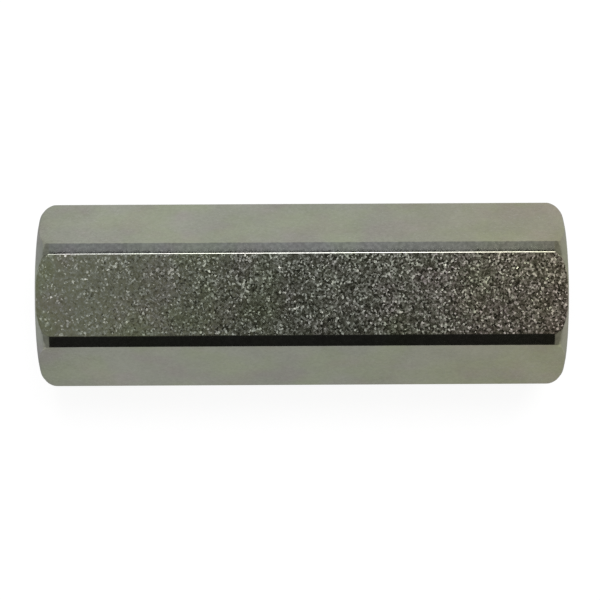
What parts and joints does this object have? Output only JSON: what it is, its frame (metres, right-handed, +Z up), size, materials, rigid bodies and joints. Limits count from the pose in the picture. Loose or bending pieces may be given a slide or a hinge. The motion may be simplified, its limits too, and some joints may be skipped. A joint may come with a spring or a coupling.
{
  "type": "threaded adapter",
  "caption": "Straight hexagon-bar hydraulic adapter with a tapped parallel-thread port in each end and a plain bore joining them.",
  "frame": {"origin": "on the axis of the bore, half way between the two end faces", "axes": "+X along the bar and both ports, +Z up and normal to the flat opposite the one it lies on, Y across two corners"},
  "size_m": [0.07, 0.0244, 0.022],
  "materials": {
    "plated_steel": "zinc plated over a turned and drawn surface, olive grey, satin, with fine speckle"
  },
  "bodies": {
    "root": {"adapter_body": "plated_steel"}
  },
  "joints": []
}
